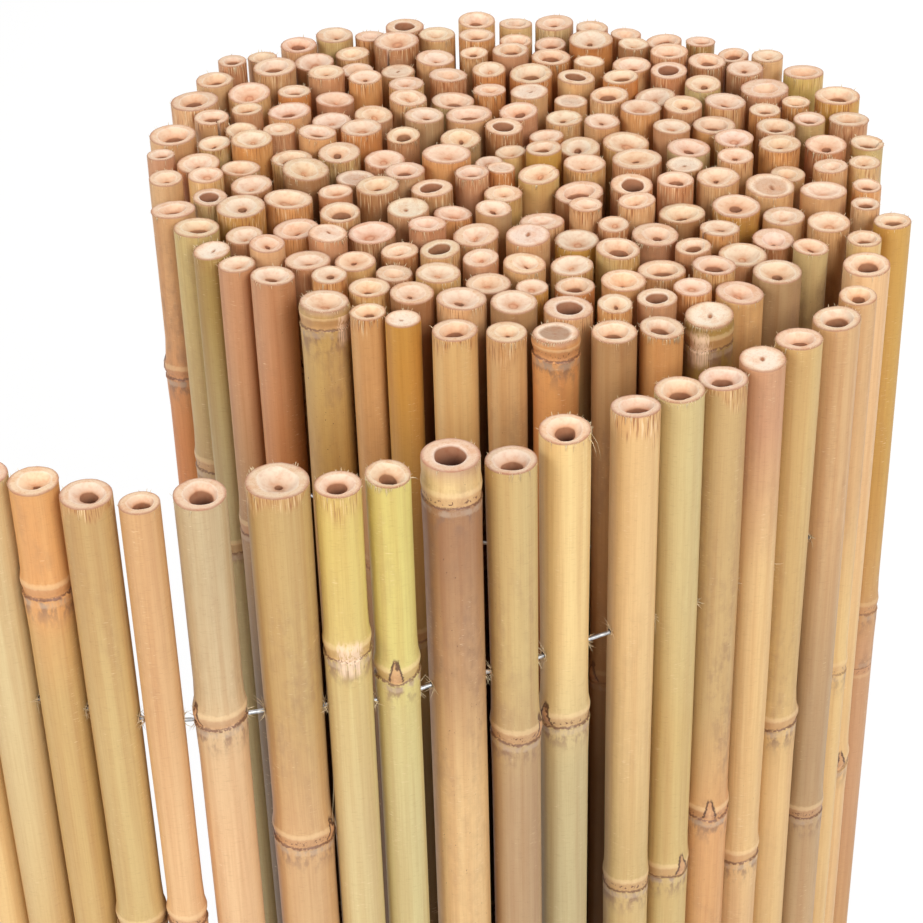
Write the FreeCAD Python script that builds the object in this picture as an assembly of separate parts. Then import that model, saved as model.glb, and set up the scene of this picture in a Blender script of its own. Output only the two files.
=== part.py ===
import FreeCAD, Part
import math
import os
import random

# A bamboo fence panel, stored as a roll that stands on end with its free end swung open.
# Whole bamboo culms stand side by side, and four galvanised wires run through holes drilled
# across them. Millimetres, +Z up, origin at the bottom centre of the whole roll.

# The fence
culm_length = 1000.0
wire_rows = 4
end_margin = 81.0             # from a culm's end to the nearest wire row
wire_diameter = 1.3
hole_diameter = 2.0
pocket_diameter = 2.6         # in the middle of a culm, where its two holes meet
leg_start = 0.3               # each hole begins inside the pocket, this far from the middle
wire_sag = 0.33               # the wire lies on the lower side of its holes
core_count_limit = 180        # more inner culms than the roll can ever hold

# The culm
smallest_culm = 10.0
usual_culm = 14.5
largest_culm = 17.5
node_height = 0.35            # how far a node's ring stands out from the culm
node_foot = 4.0               # length of the swelling under the ring
node_collar = 1.4             # length of the step down above the ring
least_gap = 0.8               # free space between neighbours, so that node rings pass

# The line of the fence in plan, through the culms' centres: the free end at the front left,
# then once round the right side, the back, the left and the front, and on into the second turn.
line_points = [(-190, -170), (-143, -191), (-95, -199), (-42, -190), (9, -171), (58, -143),
               (97, -110), (112, -75), (120, -35), (122, 8), (118, 48), (98, 80), (60, 102),
               (5, 120), (-45, 116), (-90, 97), (-113, 64), (-123, 22), (-118, -25), (-95, -64),
               (-60, -94), (-6, -115), (42, -114), (82, -82), (104, -45), (109, 7), (98, 52),
               (60, 76)]
line_start = 2.5

# The culms that show from outside, from the free end inwards: diameter, gap before the culm,
# how far it stands out from the line, and how far its sawn top stands above the usual length.
outer_culms = [
    (15.0, 1.0, 0.0, 0.0), (14.0, 1.5, 0.0, -1.0), (15.5, 1.5, 0.0, 0.5), (15.0, 1.0, -0.5, 0.5),
    (15.5, 1.5, 1.0, -0.5), (12.0, 1.5, 2.0, -1.5), (15.5, 3.0, 0.0, 0.5), (18.5, 5.0, -3.0, 1.0),
    (14.0, 0.8, 1.0, -0.5), (13.5, 1.0, 1.0, 0.5), (17.5, 4.0, -1.5, 0.5), (15.5, 1.5, 1.0, -4.5),
    (15.5, 2.5, -1.0, 0.0), (15.0, 8.0, 0.0, 1.0), (15.5, 0.8, 0.0, 0.5), (15.0, 1.0, 0.5, -1.0),
    (14.5, 0.8, 0.0, 0.0), (15.0, 1.0, -1.0, 0.5), (15.0, 4.0, 0.5, -0.5), (12.0, 1.0, 1.5, 0.0),
    (15.5, 7.5, 0.0, -0.5), (11.5, 2.5, -2.5, 0.0), (12.5, 4.5, 6.5, 0.0), (10.0, 3.0, -2.5, 0.0),
    (10.0, 3.0, -1.5, 0.0), (11.0, 6.5, 0.0, 0.0), (12.0, 4.0, 2.5, 0.0), (14.5, 6.5, -0.5, 0.0),
    (16.5, 1.5, 0.5, 1.0), (15.0, 9.0, 1.5, 0.0), (12.0, 5.0, 1.5, 0.0), (12.0, 1.5, -0.5, -2.0),
    (11.5, 1.5, -0.5, 1.0), (14.0, 1.5, -0.5, -1.0), (12.0, 2.0, -1.5, 0.0), (12.5, 2.5, 0.5, 0.0),
    (15.0, 1.5, 1.0, 0.0), (13.0, 1.0, -1.0, 0.0), (14.5, 0.8, 0.0, 1.0), (15.0, 13.5, 0.5, 0.0),
    (12.0, 0.8, -1.5, -1.0), (14.5, 0.8, 0.5, 0.5), (14.0, 0.8, 0.0, 0.0), (11.5, 3.5, 0.0, -0.5),
    (11.0, 3.0, 1.5, 2.5), (14.0, 0.8, 0.5, 0.5), (18.0, 0.8, 0.0, 0.0), (13.0, 0.8, -11.5, 0.0),
    (17.0, 4.0, -1.0, 0.0), (10.0, 2.0, 1.0, 0.0), (12.0, 7.0, -1.5, 0.0), (15.5, 9.0, -0.5, 0.0),
    (15.5, 1.5, -3.0, 0.0), (12.5, 2.5, 0.5, 0.0), (12.5, 0.8, 0.0, 0.0), (14.5, 1.5, -2.5, 0.5),
    (16.0, 8.5, 0.0, 0.0), (11.5, 2.0, 0.0, 0.0), (11.5, 0.8, 0.0, 0.5), (14.5, 4.0, 0.5, -0.5),
    (13.0, 3.0, 0.5, 0.5), (14.5, 0.8, 0.0, 1.0), (14.5, 3.5, 0.0, 0.5), (14.0, 0.8, 0.0, 0.0),
    (15.5, 2.0, 1.0, 0.0), (15.5, 2.0, -2.0, 0.0), (16.0, 2.0, 0.0, 0.0), (12.0, 7.0, 0.5, -0.5),
    (14.5, 4.0, 1.0, 0.0), (16.0, 8.0, -3.5, 0.0), (12.0, 4.0, 0.0, 0.0), (15.0, 2.5, 1.0, 0.0),
    (11.5, 7.5, 0.5, 0.0), (10.5, 3.0, 1.0, 0.0), (18.0, 0.8, -3.0, 0.5)]

# Distance from the sawn top to the first node, on the culms whose upper part shows
seen_nodes = {1: 190, 2: 200, 3: 37.5, 4: 165, 5: 160, 6: 80.5, 7: 133, 8: 58.5, 9: 71.5, 10: 13.5,
              11: 101.5, 12: 107.5, 13: 190, 14: 190.5, 15: 171.5, 16: 201.5, 17: 151.5, 18: 203,
              19: 150, 20: 210, 21: 200, 22: 161, 51: 65, 52: 95, 53: 120, 54: 105, 55: 140,
              56: 7, 57: 98, 58: 125, 59: 150, 60: 115, 61: 7, 62: 135, 63: 90, 64: 9, 65: 128,
              66: 105}

# How the sawn top is finished inside: sawn at a node, sawn over an open bore, split, or with a
# bore that the pith nearly closes. All the others show a funnel of soft pith over a small bore.
closed_tops = {16, 53, 58, 61, 64}
open_tops = {10}
split_tops = {47}
narrow_tops = {3, 7, 60, 65}
top_shares = (0.06, 0.06, 0.06, 0.25, 0.57)   # of the rest: closed, open, split, narrow, funnel
last_flap_culm = 18

# The inner turns, laid by rule
inner_gap = (0.8, 2.8)        # free space along the wire
turn_clearance = (0.8, 2.2)   # free space to the turn outside
inner_rise = 2.5
swing_out = 40                # degrees outward from the wire's run, where the swing begins
swing_in = 175                # degrees inward, where it ends
pattern_seed = 11

# The nodes of the model
single_culms = 48
culms_per_turn = (27, 43, 35, 29, 22, 27)


class Culm:
    """One bamboo culm: its place in plan, its size, and how it is finished."""

    def __init__(self, number, x, y, diameter, rise):
        self.number = number
        self.x = x
        self.y = y
        self.radius = diameter / 2
        self.top = culm_length + rise
        self.bottom = 0.0
        self.top_kind = "funnel"
        self.nodes = []


def distance(a, b):
    return math.hypot(a.x - b.x, a.y - b.y)


def lay_outer_culms():
    """Step along the fence's line from culm to culm, each a chord away from the last."""
    curve = Part.BSplineCurve()
    curve.interpolate([FreeCAD.Vector(x, y, 0) for x, y in line_points])
    step = 0.25
    line = curve.discretize(Distance=step)
    place = int(line_start / step)
    culms = []
    for number, (diameter, gap, side, rise) in enumerate(outer_culms):
        while True:
            run = line[place + 1] - line[place - 1]
            run.normalize()
            culm = Culm(number, line[place].x + side * run.y, line[place].y - side * run.x,
                        diameter, rise)
            if not culms:
                break
            if distance(culm, culms[-1]) >= culm.radius + culms[-1].radius + gap:
                break
            place += 1
        culms.append(culm)
    return culms


def swing_in_place(culm, last, heading, chord, clearance, others):
    """Swing a culm about the last one, from outside inwards, until it clears the others."""
    for angle in range(-swing_out, swing_in):
        turn = heading + math.radians(angle)
        culm.x = last.x + chord * math.cos(turn)
        culm.y = last.y + chord * math.sin(turn)
        if all(distance(culm, other) >= culm.radius + other.radius + clearance
               for other in others):
            return True
    return False


def lay_inner_culms(culms, chance):
    """Wind the rest of the fence inside the turns laid so far, until the core is full."""
    for number in range(len(culms), len(culms) + core_count_limit):
        last = culms[-1]
        heading = math.atan2(last.y - culms[-2].y, last.x - culms[-2].x)
        diameter = chance.triangular(smallest_culm, largest_culm, usual_culm)
        rise = chance.uniform(-inner_rise, inner_rise)
        gap = chance.uniform(*inner_gap)
        clearance = chance.uniform(*turn_clearance)
        culm = Culm(number, last.x, last.y, diameter, rise)
        chord = culm.radius + last.radius + gap
        if not swing_in_place(culm, last, heading, chord, clearance, culms[:-1]):
            smaller = Culm(number, last.x, last.y, smallest_culm, rise)
            chord = smaller.radius + last.radius + least_gap
            if not swing_in_place(smaller, last, heading, chord, turn_clearance[0], culms[:-1]):
                return
            culm = smaller
        culms.append(culm)


def finish_culms(culms, chance):
    """Give each culm its nodes and the finish of its sawn top."""
    for culm in culms:
        first = chance.uniform(25, 210)
        if culm.number in seen_nodes:
            first = seen_nodes[culm.number]
        height = culm.top - first
        while height > 30:
            culm.nodes.append(height)
            height -= chance.uniform(150, 260)
        drawn = chance.choices(("closed", "open", "split", "narrow", "funnel"), top_shares)[0]
        if culm.number in closed_tops:
            culm.top_kind = "closed"
        elif culm.number in open_tops:
            culm.top_kind = "open"
        elif culm.number in split_tops:
            culm.top_kind = "split"
        elif culm.number in narrow_tops:
            culm.top_kind = "narrow"
        elif culm.number > last_flap_culm and culm.number not in seen_nodes:
            culm.top_kind = drawn


def top_outline(culm):
    """The sawn top from its rim to the axis, as radius and height."""
    r = culm.radius
    if culm.top_kind == "closed":
        return [(r * 0.72, culm.top), (0, culm.top - r * 0.12)]
    if culm.top_kind == "open":
        return [(r * 0.50, culm.top), (r * 0.46, culm.top - 24), (0, culm.top - 26)]
    if culm.top_kind == "narrow":
        return [(r * 0.62, culm.top), (r * 0.16, culm.top - r * 0.40),
                (r * 0.14, culm.top - 12.4), (0, culm.top - 13)]
    return [(r * 0.70, culm.top), (r * 0.36, culm.top - r * 0.55),
            (r * 0.30, culm.top - 14), (0, culm.top - 15)]


def node_outline(radius, height):
    """A node from below: the swelling, the ring and the step above it."""
    return [(radius, height - node_foot), (radius + node_height, height),
            (radius + node_height * 0.3, height + node_collar),
            (radius, height + node_foot)]


def turned(shape, degrees, place):
    """Turn a shape about its own upright axis, then move it to its place."""
    shape.rotate(FreeCAD.Vector(0, 0, 0), FreeCAD.Vector(0, 0, 1), degrees)
    shape.translate(place)
    return shape


def culm_solid(culm, seam_side):
    """A culm as a turned form: open lower end, nodes, and the sawn top. Its seam is clear of holes."""
    r = culm.radius
    bore = r * 0.42
    outline = [(0, culm.bottom + 13), (bore, culm.bottom + 12), (bore, culm.bottom),
               (r, culm.bottom)]
    for height in reversed(culm.nodes):
        if height < culm.top - node_foot - 1:
            outline += node_outline(r, height)
    outline += [(r, culm.top)] + top_outline(culm)
    points = [FreeCAD.Vector(radius, 0, height) for radius, height in outline]
    face = Part.Face(Part.makePolygon(points + [points[0]]))
    solid = face.revolve(FreeCAD.Vector(0, 0, 0), FreeCAD.Vector(0, 0, 1), 360)
    return turned(solid, seam_side, FreeCAD.Vector(culm.x, culm.y, 0))


def row_heights():
    """Heights of the wire rows, top row first."""
    spacing = (culm_length - 2 * end_margin) / (wire_rows - 1)
    return [culm_length - end_margin - row * spacing for row in range(wire_rows)]


def unit(start, end):
    """The direction in plan from one culm to another."""
    run = FreeCAD.Vector(end.x - start.x, end.y - start.y, 0)
    run.normalize()
    return run


def wire_directions(culms, index):
    """The two ways the wire leaves a culm. An end culm lets it out straight through."""
    ways = []
    if index > 0:
        ways.append(unit(culms[index], culms[index - 1]))
    if index < len(culms) - 1:
        ways.append(unit(culms[index], culms[index + 1]))
    if len(ways) == 1:
        ways.append(ways[0] * -1)
    return ways


def free_side(ways):
    """The angle in plan, in degrees, of the side of a culm that looks away from both its wire runs."""
    run = ways[0] - ways[1]
    side = FreeCAD.Vector(-run.y, run.x, 0)
    if side.dot(ways[0] + ways[1]) > 0:
        side = side * -1
    return math.degrees(math.atan2(side.y, side.x))


def drill(solid, culm, ways):
    """Drill the wire's holes: at each row two legs, and a round pocket where they meet."""
    cuts = []
    for height in row_heights():
        middle = FreeCAD.Vector(culm.x, culm.y, height)
        pocket = Part.makeSphere(pocket_diameter / 2)
        cuts.append(turned(pocket, free_side(ways), middle))
        for way in ways:
            start = middle + way * leg_start
            cuts.append(Part.makeCylinder(hole_diameter / 2, culm.radius + 1, start, way))
    return solid.cut(cuts)


def split(solid, culm, chance):
    """Open a split down the wall from the sawn top."""
    width = 1.0
    depth = culm.radius * 1.6
    slot = Part.makeBox(culm.radius + 2, width, depth + 1,
                        FreeCAD.Vector(0, -width / 2, culm.top - depth))
    return solid.cut(turned(slot, chance.uniform(0, 360), FreeCAD.Vector(culm.x, culm.y, 0)))


def wire_route(culms, height):
    """The wire's corners: hooked round the first culm, through every centre, cut at the core."""
    z = height - wire_sag
    first = culms[0]
    last = culms[-1]
    way = wire_directions(culms, 0)[1]
    facing = math.atan2(way.y, way.x)
    reach = first.radius + node_height + wire_diameter
    route = []
    for angle in (-100, -70, -35, 0):
        turn = facing + math.radians(angle)
        route.append(FreeCAD.Vector(first.x + reach * math.cos(turn),
                                    first.y + reach * math.sin(turn), z))
    route += [FreeCAD.Vector(culm.x, culm.y, z) for culm in culms]
    way = wire_directions(culms, len(culms) - 1)[1]
    route.append(FreeCAD.Vector(last.x, last.y, z) + way * (last.radius + 0.3))
    return route


def wire_solid(route):
    """Round wire along straight runs with mitred corners."""
    spine = Part.makePolygon(route)
    start = route[0]
    run = route[1] - route[0]
    ring = Part.Wire(Part.makeCircle(wire_diameter / 2, start, run))
    shell = Part.BRepOffsetAPI.MakePipeShell(spine)
    shell.setTransitionMode(1)
    shell.add(ring)
    shell.build()
    shell.makeSolid()
    return shell.shape()


def node_names(culms):
    """The culms of each named node: single culms first, then the inner turns."""
    groups = {}
    for culm in culms[:single_culms]:
        groups[f"culm_{culm.number + 1:02d}"] = [culm]
    start = single_culms
    for turn, count in enumerate(culms_per_turn, 1):
        end = start + count
        if turn == len(culms_per_turn):
            end = len(culms)
        groups[f"culms_turn_{turn}"] = culms[start:end]
        start = end
    return groups


def build():
    chance = random.Random(pattern_seed)
    culms = lay_outer_culms()
    lay_inner_culms(culms, chance)
    finish_culms(culms, chance)
    print("culms", len(culms))
    shapes = {}
    for name, group in node_names(culms).items():
        solids = []
        for culm in group:
            ways = wire_directions(culms, culm.number)
            solid = culm_solid(culm, free_side(ways))
            if culm.top_kind == "split":
                solid = split(solid, culm, chance)
            solids += drill(solid, culm, ways).Solids
        shapes[name] = Part.makeCompound(solids) if len(solids) > 1 else solids[0]
    for row, height in enumerate(row_heights(), 1):
        shapes[f"wire_{row}"] = wire_solid(wire_route(culms, height))
    return shapes


def export(shapes):
    """Move the origin to the bottom centre of the whole roll, and write one file per node."""
    os.makedirs("parts", exist_ok=True)
    box = Part.makeCompound(list(shapes.values())).BoundBox
    shift = FreeCAD.Vector(-box.Center.x, -box.Center.y, -box.ZMin)
    print("roll", round(box.XLength, 1), round(box.YLength, 1), round(box.ZLength, 1))
    print("shift", round(shift.x, 2), round(shift.y, 2), round(shift.z, 2))
    for name, shape in shapes.items():
        shape.translate(shift)
        print(name, len(shape.Solids), shape.isValid(), round(shape.Volume / 1000, 1))
        shape.exportStep(f"parts/{name}.step")


export(build())
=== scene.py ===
import math
import bpy
import numpy as np
from mathutils import Matrix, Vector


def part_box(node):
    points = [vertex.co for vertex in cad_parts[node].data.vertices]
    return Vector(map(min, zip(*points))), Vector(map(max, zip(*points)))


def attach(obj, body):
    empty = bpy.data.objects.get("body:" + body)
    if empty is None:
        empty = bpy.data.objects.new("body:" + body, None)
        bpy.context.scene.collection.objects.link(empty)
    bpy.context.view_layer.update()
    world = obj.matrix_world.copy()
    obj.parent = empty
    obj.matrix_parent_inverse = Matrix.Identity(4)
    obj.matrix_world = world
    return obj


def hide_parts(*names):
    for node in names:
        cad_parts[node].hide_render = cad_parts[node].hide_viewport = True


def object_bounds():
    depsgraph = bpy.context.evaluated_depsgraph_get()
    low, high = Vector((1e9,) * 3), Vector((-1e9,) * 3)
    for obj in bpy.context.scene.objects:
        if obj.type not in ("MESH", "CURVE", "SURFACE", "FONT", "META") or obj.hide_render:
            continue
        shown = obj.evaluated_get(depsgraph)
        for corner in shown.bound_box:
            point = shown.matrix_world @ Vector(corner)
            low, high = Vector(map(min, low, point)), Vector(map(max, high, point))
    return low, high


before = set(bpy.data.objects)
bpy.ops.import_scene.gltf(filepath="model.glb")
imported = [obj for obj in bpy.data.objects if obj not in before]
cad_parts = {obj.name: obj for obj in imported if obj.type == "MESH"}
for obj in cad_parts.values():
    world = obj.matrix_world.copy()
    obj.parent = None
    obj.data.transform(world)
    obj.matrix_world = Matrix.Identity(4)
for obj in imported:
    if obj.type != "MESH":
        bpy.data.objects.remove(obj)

# A bamboo fence panel, rolled up and standing on end. Each culm of the frame is dressed with a
# detailed one: node rings, bud scars, sawn ends with their pith and bore, splinters and splits.
# The wires stay the frame's own. Lengths are millimetres until a mesh is made, in metres.

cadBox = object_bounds()
mm = 0.001


# Colours and small helpers

# An sRGB hex colour as linear RGB.
def linear(hexCode):
    value = np.array([int(hexCode[i:i + 2], 16) / 255 for i in (0, 2, 4)])
    return np.where(value <= 0.04045, value / 12.92, ((value + 0.055) / 1.055) ** 2.4)


# 0 before edge0, 1 after edge1, with a soft step between.
def smooth(edge0, edge1, x):
    t = np.clip((x - edge0) / (edge1 - edge0), 0, 1)
    return t * t * (3 - 2 * t)


# A round hump of height 1.
def hump(x, centre, width):
    return np.exp(-((x - centre) / width) ** 2)


# Colour a turning into colour b, for an array of amounts.
def blend(a, b, amount):
    return a + (b - a) * np.asarray(amount)[..., None]


# The hues of the skin, then those of the sawn ends from the rim in to the bore.
skin = {name: linear(code) for name, code in {
    "straw": "E0BC82", "paleYellow": "E2C488", "yellowGreen": "D9C676", "oliveStraw": "CDB075",
    "olive": "AC9254", "sage": "CFBC88", "greySage": "C6B28A", "greyGreen": "B9A87C", "tan": "D4AA7A",
    "greyTan": "B6946C", "oliveTan": "C5A46C", "peach": "E1B888", "orangeTan": "D9A268",
    "orange": "CF8C52", "ochre": "CA9C4E", "pinkBrown": "C89670", "mottledBrown": "A67C56",
    "brown": "A67A54"}.items()}

# Going in from the funnel, the throat, bore and deepest hues darken step by step: painted shade down the
# hollow. The lip, paler than the wall, is partly the inner wall's own colour and partly a painted highlight.
cut = {name: linear(code) for name, code in {
    "edge": "B4866A", "outer": "D2AA8C", "wall": "E4C4A4", "lip": "EFD7BE", "pith": "E6C2A2",
    "funnel": "D6A684", "throat": "A67454", "bore": "6A4330", "paintedShadeDeep": "36201A", "cap": "F0DCC6",
    "fibre": "EFDDB6", "capStain": "AE8C70"}.items()}

skinFace, sawnFace, lining = 0, 1, 2    # the three materials of a culm, by their place on the mesh

# Culms are numbered from the free end along the wires, round and round into the core.
frontCulms = 20               # the culms before this one are in front in the photo
outermost = 54                # the culms before this one show on the outside of the roll
secondTurn = 75               # the culms before this one stand in the outer two turns
paleStub = 10                 # paler above its first node than below
darkCap = 61                  # its closed top has gone dark

# The culms that show best, by their place from the free end: upper and lower colour, the depth in
# millimetres where one turns into the other, then how mottled, frayed and specked they are.
seenLooks = {
    0: ("straw", "sage", 90, 0.2, 0.2, 0.1), 1: ("tan", "straw", 80, 0.2, 0.1, 0.1),
    2: ("sage", "oliveStraw", 120, 0.1, 0.2, 0.1), 3: ("orangeTan", "oliveTan", 44, 0.3, 0.1, 0.0),
    4: ("oliveTan", "oliveStraw", 60, 0.3, 0.9, 0.2), 5: ("tan", "peach", 80, 0.2, 0.0, 0.0),
    6: ("greySage", "peach", 84, 0.3, 0.1, 0.2), 7: ("oliveTan", "tan", 100, 0.45, 0.7, 0.2),
    8: ("yellowGreen", "sage", 62, 0.1, 0.5, 0.1), 9: ("yellowGreen", "sage", 74, 0.2, 0.1, 0.1),
    10: ("mottledBrown", "straw", 78, 1.0, 0.0, 0.8), 11: ("oliveStraw", "greyTan", 103, 0.4, 0.1, 0.3),
    12: ("paleYellow", "greyGreen", 108, 0.1, 0.2, 0.1), 13: ("straw", "oliveStraw", 130, 0.2, 0.8, 0.1),
    14: ("sage", "oliveStraw", 90, 0.2, 0.1, 0.1), 15: ("oliveTan", "orangeTan", 150, 0.9, 0.9, 0.3),
    16: ("pinkBrown", "straw", 60, 0.3, 0.1, 0.3), 17: ("oliveStraw", "straw", 152, 0.4, 0.1, 0.1),
    18: ("tan", "greyTan", 110, 0.3, 0.2, 0.1), 19: ("tan", "straw", 90, 0.3, 0.2, 0.1),
    20: ("peach", "straw", 110, 0.2, 0.1, 0.1), 21: ("straw", "peach", 110, 0.2, 0.1, 0.1),
    22: ("ochre", "pinkBrown", 160, 0.2, 0.2, 0.1), 48: ("tan", "pinkBrown", 80, 0.3, 0.2, 0.2),
    49: ("pinkBrown", "tan", 60, 0.3, 0.1, 0.2), 50: ("tan", "pinkBrown", 60, 0.3, 0.1, 0.1),
    51: ("tan", "orange", 67, 0.7, 0.1, 0.2), 52: ("oliveStraw", "greyTan", 70, 0.3, 0.1, 0.1),
    53: ("olive", "greyGreen", 60, 0.1, 0.3, 0.1), 54: ("pinkBrown", "greyTan", 80, 0.2, 0.1, 0.2),
    55: ("pinkBrown", "orange", 50, 0.2, 0.1, 0.3), 56: ("oliveStraw", "ochre", 60, 0.6, 0.1, 0.9),
    57: ("tan", "tan", 50, 0.2, 0.8, 0.1), 58: ("ochre", "oliveStraw", 70, 0.1, 0.1, 0.1),
    59: ("straw", "orangeTan", 60, 0.1, 0.7, 0.1), 60: ("tan", "greyTan", 60, 0.3, 0.6, 0.4),
    61: ("orangeTan", "orange", 30, 0.3, 0.1, 0.1), 62: ("greyTan", "tan", 70, 0.7, 0.3, 0.3),
    63: ("orangeTan", "orange", 60, 0.2, 0.2, 0.1), 64: ("olive", "greyGreen", 40, 0.6, 0.1, 0.6),
    65: ("straw", "olive", 60, 0.3, 0.1, 0.1), 66: ("greyTan", "tan", 60, 0.3, 0.1, 0.2)}

# The rest draw their colours from these lists, where a name given twice comes up twice as often:
# first the culms on the outside of the roll, then those inside it, which are browner.
outsideColours = ["straw", "straw", "oliveStraw", "tan", "tan", "tan", "greyTan", "peach",
                  "orangeTan", "pinkBrown", "brown", "olive", "ochre", "sage", "yellowGreen"]
insideColours = ["tan", "tan", "tan", "tan", "pinkBrown", "pinkBrown", "pinkBrown", "pinkBrown",
                 "orangeTan", "orangeTan", "orangeTan", "greyTan", "greyTan", "brown", "brown", "peach",
                 "orange", "orange", "straw", "oliveStraw", "ochre", "sage", "pinkBrown"]

# The bud of the first node below the top, by culm: the way it faces in degrees, seen from above,
# and how it looks: 0 hidden, 0.5 scratched off, 1 whole.
seenBuds = {3: (150, 1), 4: (90, 0), 5: (90, 0), 6: (-150, 1), 7: (-20, 1), 8: (-82, 0.5), 9: (-92, 1),
            10: (90, 0), 11: (-18, 1), 12: (-140, 1), 13: (90, 0), 14: (-50, 1), 15: (-84, 1),
            16: (-160, 1), 17: (0, 1), 18: (-160, 1), 51: (-170, 1), 56: (-30, 0.5), 61: (90, 0),
            64: (-120, 0.5)}

# The loose fibres on the rims of the culms that are most ragged.
seenFringe = {7: 40, 8: 34, 9: 90, 11: 40, 12: 80, 13: 30, 14: 60, 17: 60, 18: 40, 53: 60, 56: 60, 57: 50,
              61: 80, 62: 50, 63: 90, 64: 60}

# Long loose strands, by culm: the way they face in degrees, how far below the top they are rooted,
# then how far they run out, along the culm and back again.
seenStrands = {12: [(-12, 1.0, 3.4, -5.0, -7.0), (-30, 0.8, 2.6, -3.0, -4.5)], 7: [(-14, 130, 2.2, 24, 18)],
               9: [(-20, 0.6, 2.4, 1.5, -2.5)], 14: [(-150, 0.7, 2.8, -2.0, -3.0)]}


# Reading the frame's culms

# Points nearer than the weld are one. What stands further out than proud belongs to a node ring,
# and rings are further apart than the gap. The depth at the middle of the sawn end, looked for
# down to the deepest, tells the kind of top: less than each value here, or else open. A culm
# with no point at its middle gets the unknown depth. A split's depth is in radii.
reading = {"weld": 0.02, "proud": 0.28, "gap": 3, "deepest": 40, "unknown": 15.0,
           "closed": 4, "narrow": 14, "funnel": 20, "split": 1.6}


# The frame's node as one array of points per solid. Triangles that share a corner share a label:
# each round gives every corner the lowest label of its triangles, until nothing changes.
def solidsOf(node):
    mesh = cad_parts[node].data
    points = np.empty(len(mesh.vertices) * 3, np.float32)
    mesh.vertices.foreach_get("co", points)
    corners = np.empty(len(mesh.loops), np.int64)
    mesh.loops.foreach_get("vertex_index", corners)
    grid = np.round(points.reshape(-1, 3) / (reading["weld"] * mm)).astype(np.int64)
    keys, same = np.unique(grid, axis=0, return_inverse=True)
    triangles = same.reshape(-1)[corners].reshape(-1, 3)
    label = np.arange(len(keys))
    while True:
        least = label[triangles].min(axis=1)
        new = label.copy()
        for corner in range(3):
            np.minimum.at(new, triangles[:, corner], least)
        new = new[new]
        if np.array_equal(new, label):
            break
        label = new
    return [keys[label == one] * reading["weld"] for one in np.unique(label)]


# Axis, radius, length, nodes and kind of top of one culm.
def measureCulm(node, points):
    foot = points[points[:, 2] < 0.05]
    x = (foot[:, 0].min() + foot[:, 0].max()) / 2
    y = (foot[:, 1].min() + foot[:, 1].max()) / 2
    across = np.hypot(points[:, 0] - x, points[:, 1] - y)
    radius = across[points[:, 2] < 0.05].max()
    top = points[:, 2].max()
    proud = np.unique(np.round(points[across > radius + reading["proud"], 2] * 2) / 2)
    nodes = [level for i, level in enumerate(proud) if i == 0 or level - proud[i - 1] > reading["gap"]]
    middle = points[(across < 0.3) & (points[:, 2] > top - reading["deepest"])]
    depth = top - middle[:, 2].min() if len(middle) else reading["unknown"]
    kind = next((name for name in ("closed", "narrow", "funnel") if depth < reading[name]), "open")
    slotFloor = top - reading["split"] * radius
    floor = points[(np.abs(points[:, 2] - slotFloor) < 0.06) & (across > radius * 0.6)]
    slot = None
    if len(floor) and slotFloor not in nodes:
        slot = math.atan2(floor[:, 1].mean() - y, floor[:, 0].mean() - x)
    return {"node": node, "x": x, "y": y, "radius": radius, "top": top, "nodes": nodes,
            "kind": kind, "slot": slot}


# Every culm with its number: single culms by name, the rest by their way round the roll.
def readCulms():
    culms = [measureCulm(name, solidsOf(name)[0]) for name in sorted(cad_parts)
             if name.startswith("culm_")]
    centre = np.mean([(culm["x"], culm["y"]) for culm in culms[20:]], axis=0)
    start = math.atan2(culms[-1]["y"] - centre[1], culms[-1]["x"] - centre[0])
    for name in sorted(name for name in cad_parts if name.startswith("culms_turn_")):
        turn = [measureCulm(name, points) for points in solidsOf(name)]
        turn.sort(key=lambda culm: (math.atan2(culm["y"] - centre[1], culm["x"] - centre[0])
                                    - start - 0.01) % (2 * math.pi))
        culms += turn
    for number, culm in enumerate(culms):
        culm["number"] = number
    return culms


# The colours, wear and small bends of a culm: as listed, or drawn by chance.
def chooseLook(culm):
    number = culm["number"]
    chance = np.random.default_rng(9100 + number)
    culm["chance"] = chance
    upper, lower = chance.choice(outsideColours if number < outermost else insideColours, 2)
    drawn = (upper, lower, chance.uniform(10, 90), chance.uniform(0, 0.7), chance.uniform(0.1, 1.0),
             chance.uniform(0, 0.6))
    upper, lower, change, mottle, fray, specks = seenLooks.get(number, drawn)
    culm.update(upper=skin[upper], lower=skin[lower], change=change, mottle=mottle, fray=fray, specks=specks)
    culm["tint"] = chance.uniform(0.95, 1.03) * (1 + chance.uniform(-0.03, 0.03, 3))
    culm["phase"] = chance.uniform(0, 2 * math.pi, 12)
    culm["budSide"] = chance.uniform(0, 2 * math.pi)
    culm["budLook"] = 1.0
    culm["stain"] = chance.uniform(0.4, 1.0, 12)
    if number in seenBuds:
        degrees, culm["budLook"] = seenBuds[number]
        culm["budSide"] = math.radians(degrees)
        culm["stain"][0] = 0.95
    culm["stout"] = chance.uniform(0.6, 1.25, 12)
    culm["lean"] = chance.uniform(0.0, 0.09) * culm["radius"]
    culm["bend"] = chance.uniform(-0.28, 0.28, (8, 2))
    culm["side"] = chance.uniform(0.15, 0.7)
    if number < frontCulms:
        culm["phase"][10] = chance.uniform(-2.3, -1.5)      # the browner side turned left, away from the key lamp, as painted shade
        culm["side"] = chance.uniform(0.25, 0.65)
    culm["ragged"] = chance.uniform(0.5, 2.2)
    ordinary = chance.uniform(6, 30) if number < outermost else chance.uniform(4, 32)
    culm["fringe"] = seenFringe.get(number, ordinary)


# The shape of a culm

culmShape = {
    "roundness": 0.016,         # share of the radius by which the outline is out of round
    "skirt": 0.26,              # swelling under the scar
    "scarRing": 0.34,           # sharp ring that the leaf sheath left
    "groove": 0.30,             # pinched line above it
    "ridge": 0.50, "ridgeAt": 4.6,
    "waist": 0.22,              # the culm is slimmer above a node
    "bud": 0.6, "budDent": 0.35}

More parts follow.
